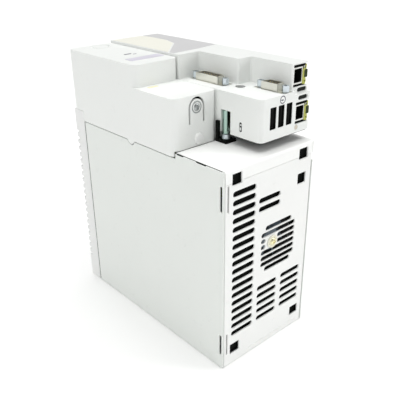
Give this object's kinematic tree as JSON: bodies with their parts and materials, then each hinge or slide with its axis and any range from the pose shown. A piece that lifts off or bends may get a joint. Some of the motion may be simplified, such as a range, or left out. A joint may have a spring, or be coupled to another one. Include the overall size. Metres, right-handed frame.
{
  "type": "servo drive",
  "caption": "Compact servo drive: slotted sheet-metal case with a fan, stepped moulded front with data sockets, and a turning fan rotor and a sprung button.",
  "frame": {"origin": "middle of the flat mounting face", "axes": "+Z out of the mounting face towards the connectors, +Y along the height of the mounted drive away from the fan, +X across its width"},
  "size_m": [0.096, 0.1926, 0.2243],
  "materials": {
    "sheet": "satin paint",
    "aluminium": "extruded",
    "housing": "fine moulded texture",
    "connector_shell": "tin plate",
    "black_plastic": "satin",
    "zinc": "zinc plate",
    "gold": "gold plate",
    "light_pipe": "clear moulded",
    "button": "satin",
    "board": "lacquered laminate",
    "capacitor": "sleeve",
    "fan_rotor": "satin",
    "washer": "satin",
    "screw_yellow": "yellow passivated zinc",
    "label_lilac": "plain film",
    "label_grey": "plain film"
  },
  "bodies": {
    "case": {"blank_plug": "housing", "capacitor_1": "capacitor", "capacitor_2": "capacitor", "capacitor_3": "capacitor", "capacitor_4": "capacitor", "choke": "black_plastic", "connector_board": "board", "control_board": "board", "control_cover": "housing", "control_housing": "housing", "cover_screw": "zinc", "deck_plate": "sheet", "dsub15_insert": "black_plastic", "dsub15_jackscrew_a": "zinc", "dsub15_jackscrew_b": "zinc", "dsub15_shell": "connector_shell", "dsub9_insert": "black_plastic", "dsub9_jackscrew_a": "zinc", "dsub9_jackscrew_b": "zinc", "dsub9_shell": "connector_shell", "fan_end_plate": "sheet", "fan_frame": "black_plastic", "fan_screw": "screw_yellow", "fan_washer": "washer", "front_housing": "housing", "ground_base": "black_plastic", "ground_post": "zinc", "ground_screw": "zinc", "header_1": "black_plastic", "header_2": "black_plastic", "header_3": "black_plastic", "heat_sink": "aluminium", "label_left": "label_lilac", "label_right": "label_grey", "light_pipe_1": "light_pipe", "light_pipe_2": "light_pipe", "line_relay": "black_plastic", "mains_connector": "black_plastic", "motor_connector": "black_plastic", "mounting_plate": "aluminium", "power_board": "board", "power_module": "black_plastic", "rectifier": "black_plastic", "reset_switch": "black_plastic", "rj45_lower": "black_plastic", "rj45_lower_contacts": "gold", "rj45_upper": "black_plastic", "rj45_upper_contacts": "gold", "side_panel_left": "sheet", "side_panel_right": "sheet", "standoff_1": "zinc", "standoff_2": "zinc", "standoff_3": "zinc", "standoff_4": "zinc", "tongue_screw": "zinc", "transformer": "black_plastic", "vent_cap": "housing"},
    "fan": {"fan_rotor": "fan_rotor"},
    "button": {"reset_button": "button"}
  },
  "joints": [
    {"name": "fan_spin", "type": "hinge", "parent": "case", "child": "fan", "pos_m": [0.0114, -0.08, 0.0901], "axis": [0, 1, 0], "continuous": true},
    {"name": "button_press", "type": "slide", "parent": "case", "child": "button", "axis": [0, 1, 0], "range_m": [0, 0.0007], "stiffness_N_per_m": 800}
  ]
}
